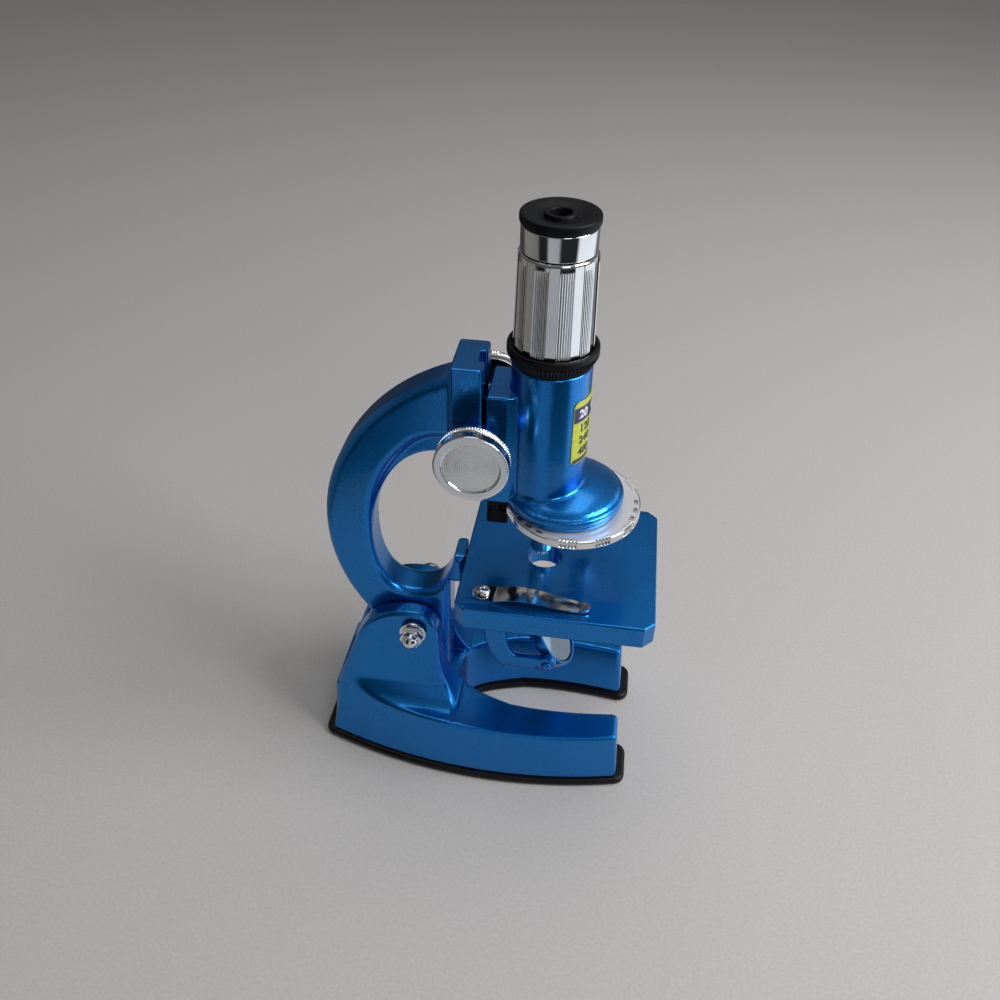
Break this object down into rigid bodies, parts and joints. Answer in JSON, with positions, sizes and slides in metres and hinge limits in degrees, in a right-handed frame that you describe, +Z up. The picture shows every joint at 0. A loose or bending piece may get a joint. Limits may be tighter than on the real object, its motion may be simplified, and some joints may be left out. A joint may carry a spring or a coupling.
{
  "type": "microscope",
  "caption": "Small zoom microscope with a tilting C-shaped arm, rack focusing, turning nosepiece, slide stage, tilting mirror and horseshoe foot.",
  "frame": {"origin": "centre of the footprint on the surface that the foot stands on", "axes": "+Z up along the tube, +X from the arm towards the front of the stage, +Y towards the far focus knob"},
  "size_m": [0.1164, 0.0674, 0.2031],
  "materials": {
    "blue_paint": "gloss",
    "chrome": "polished",
    "steel": "satin",
    "brass": "satin",
    "black_plastic": "satin",
    "black_rubber": "matte",
    "lens_glass": "polished",
    "silvered_glass": "polished",
    "printed_label": "satin"
  },
  "bodies": {
    "base": {"base_casting": "blue_paint", "base_pad": "black_rubber", "pad_screw_1": "steel", "pad_screw_2": "steel", "pad_screw_3": "steel", "pivot_bolt": "chrome", "pivot_nut": "chrome", "pivot_washer_near": "chrome", "pivot_washer_far": "chrome"},
    "arm": {"arm_casting": "blue_paint", "focus_guide": "black_plastic", "guide_screw_upper": "steel", "guide_screw_lower": "steel", "shaft_bush_near": "brass", "shaft_bush_far": "brass", "stage": "blue_paint", "stage_screw_near": "steel", "stage_screw_far": "steel", "clip_screw_near": "chrome", "clip_screw_far": "chrome", "mirror_fork": "blue_paint", "fork_screw_near": "steel", "fork_screw_far": "steel", "mirror_pin_near": "blue_paint", "mirror_pin_far": "blue_paint"},
    "focus_drive": {"pinion_shaft": "steel", "focus_knob_near": "chrome", "focus_knob_far": "chrome"},
    "carriage": {"tube_casting": "blue_paint", "rack": "brass", "rack_screw_upper": "steel", "rack_screw_lower": "steel", "nosepiece_plate": "blue_paint", "turret_screw": "steel", "turret_washer": "steel", "tube_collar": "black_plastic", "draw_sleeve": "brass", "label_plate": "printed_label"},
    "turret": {"turret_disc": "chrome", "objective_high": "chrome", "objective_mid": "chrome", "objective_low": "chrome", "objective_lens_high": "lens_glass", "objective_lens_mid": "lens_glass", "objective_lens_low": "lens_glass"},
    "zoom": {"zoom_grip": "chrome"},
    "ocular": {"ocular_tube": "chrome", "eyecup": "black_plastic", "eye_lens": "lens_glass", "field_lens": "lens_glass"},
    "clip_near": {"clip_near": "chrome"},
    "clip_far": {"clip_far": "chrome"},
    "mirror": {"mirror_housing": "blue_paint", "mirror_glass": "silvered_glass"}
  },
  "joints": [
    {"name": "arm_tilt", "type": "hinge", "parent": "base", "child": "arm", "pos_m": [-0.0234, 0, 0.0543], "axis": [0, -1, 0], "range_deg": [0, 45]},
    {"name": "focus_slide", "type": "slide", "parent": "arm", "child": "carriage", "axis": [0, 0, 1], "range_m": [-0.0024, 0.012]},
    {"name": "knob_turn", "type": "hinge", "parent": "arm", "child": "focus_drive", "pos_m": [-0.00113, 0, 0.135], "axis": [0, -1, 0], "range_deg": [-70, 345]},
    {"name": "turret_turn", "type": "hinge", "parent": "carriage", "child": "turret", "pos_m": [0.02813, 0, 0.107], "axis": [0, 0, 1], "continuous": true},
    {"name": "ocular_slide", "type": "slide", "parent": "carriage", "child": "ocular", "axis": [0, 0, 1], "range_m": [0, 0.006]},
    {"name": "zoom_twist", "type": "hinge", "parent": "carriage", "child": "zoom", "pos_m": [0.019, 0, 0.18], "axis": [0, 0, 1], "range_deg": [0, 121]},
    {"name": "clip_near_swing", "type": "hinge", "parent": "arm", "child": "clip_near", "pos_m": [0.0024, -0.0218, 0.0835], "axis": [0, 0, 1], "range_deg": [-35, 30]},
    {"name": "clip_far_swing", "type": "hinge", "parent": "arm", "child": "clip_far", "pos_m": [0.0024, 0.0218, 0.0835], "axis": [0, 0, -1], "range_deg": [-35, 30]},
    {"name": "mirror_tilt", "type": "hinge", "parent": "arm", "child": "mirror", "pos_m": [0.0242, 0, 0.0462], "axis": [0, 1, 0], "range_deg": [-75, 45]}
  ],
  "couplings": [
    {"joint": "knob_turn", "follows": "focus_slide", "rad_per_m": 500},
    {"joint": "zoom_twist", "follows": "ocular_slide", "rad_per_m": 349}
  ]
}
